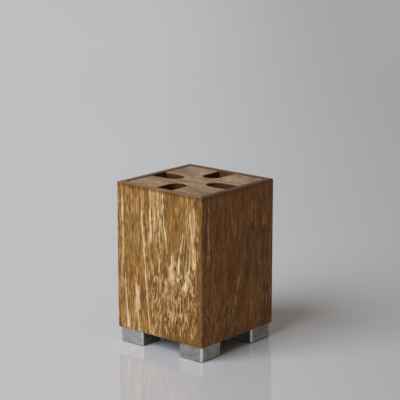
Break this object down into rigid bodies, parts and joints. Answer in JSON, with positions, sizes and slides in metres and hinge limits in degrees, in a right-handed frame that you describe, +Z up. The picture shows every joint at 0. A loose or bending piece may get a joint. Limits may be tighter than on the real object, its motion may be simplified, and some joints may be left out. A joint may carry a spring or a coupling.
{
  "type": "toothbrush holder",
  "caption": "Square wooden toothbrush holder on steel block feet, with an inset lift-out top panel notched with round-ended slots at its edges.",
  "frame": {"origin": "centre of the footprint, on the plane of the pads' undersides", "axes": "+Z up; -Y is the front, the bright side of the picture; +X is the right, its shaded side"},
  "size_m": [0.07, 0.07, 0.1045],
  "materials": {
    "side_wood": "open-grained golden brown wood, upright grain, satin",
    "panel_wood": "lighter greyish tan wood, grain along X, satin",
    "inner_wood": "unfinished inner wood",
    "foot_steel": "brushed",
    "screw_steel": "zinc plated",
    "pad_rubber": "matte"
  },
  "bodies": {
    "box": {"wall_front": "side_wood", "wall_right": "side_wood", "wall_back": "side_wood", "wall_left": "side_wood", "corner_post_front_left": "inner_wood", "corner_post_front_right": "inner_wood", "corner_post_back_right": "inner_wood", "corner_post_back_left": "inner_wood", "base_board": "inner_wood", "foot_front_left": "foot_steel", "foot_front_right": "foot_steel", "foot_back_right": "foot_steel", "foot_back_left": "foot_steel", "foot_screw_front_left": "screw_steel", "foot_screw_front_right": "screw_steel", "foot_screw_back_right": "screw_steel", "foot_screw_back_left": "screw_steel", "foot_pad_front_left": "pad_rubber", "foot_pad_front_right": "pad_rubber", "foot_pad_back_right": "pad_rubber", "foot_pad_back_left": "pad_rubber"},
    "top": {"top_panel": "panel_wood"}
  },
  "joints": [
    {"name": "panel_lift", "type": "slide", "parent": "box", "child": "top", "axis": [0, 0, 1], "range_m": [0, 0.05]}
  ]
}
